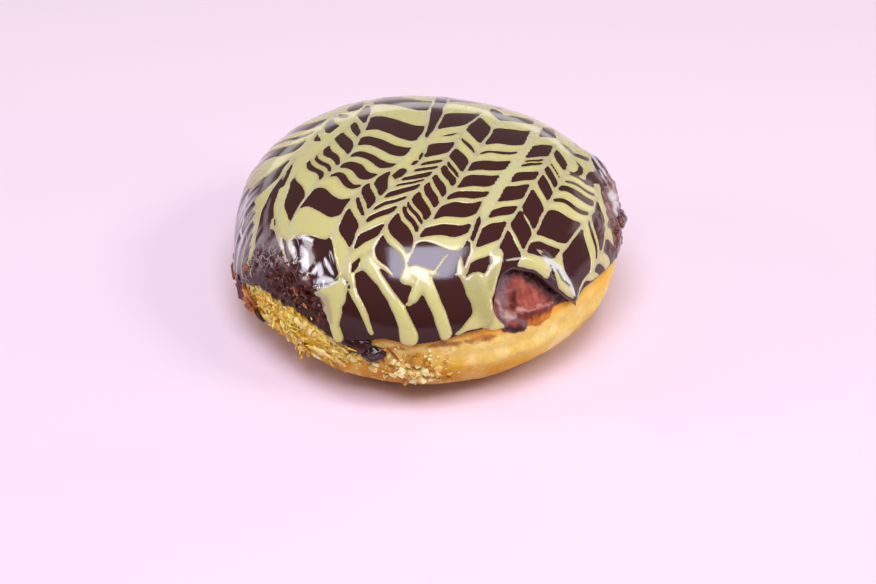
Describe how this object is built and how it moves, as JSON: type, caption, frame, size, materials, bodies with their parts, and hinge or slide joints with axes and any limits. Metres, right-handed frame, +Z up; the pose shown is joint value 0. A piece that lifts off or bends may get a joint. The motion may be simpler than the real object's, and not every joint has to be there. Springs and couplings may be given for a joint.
{
  "type": "filled doughnut",
  "caption": "Round filled doughnut with a thick dark chocolate coat, feathered pale cream icing and chopped nuts along its lower edge.",
  "frame": {"origin": "centre of the flat spot on the underside that the doughnut rests on", "axes": "+Z up through the top, -Y towards the front with the cream drips, +X to the right"},
  "size_m": [0.1042, 0.0989, 0.051],
  "materials": {
    "dough": "soft golden-brown fried dough, pale band under the coat",
    "chocolate": "glossy dark chocolate",
    "cream": "glossy pale cream icing",
    "nuts": "chopped nuts and golden pastry flakes"
  },
  "bodies": {
    "root": {"dough": "dough", "chocolate_coat": "chocolate"}
  },
  "joints": []
}
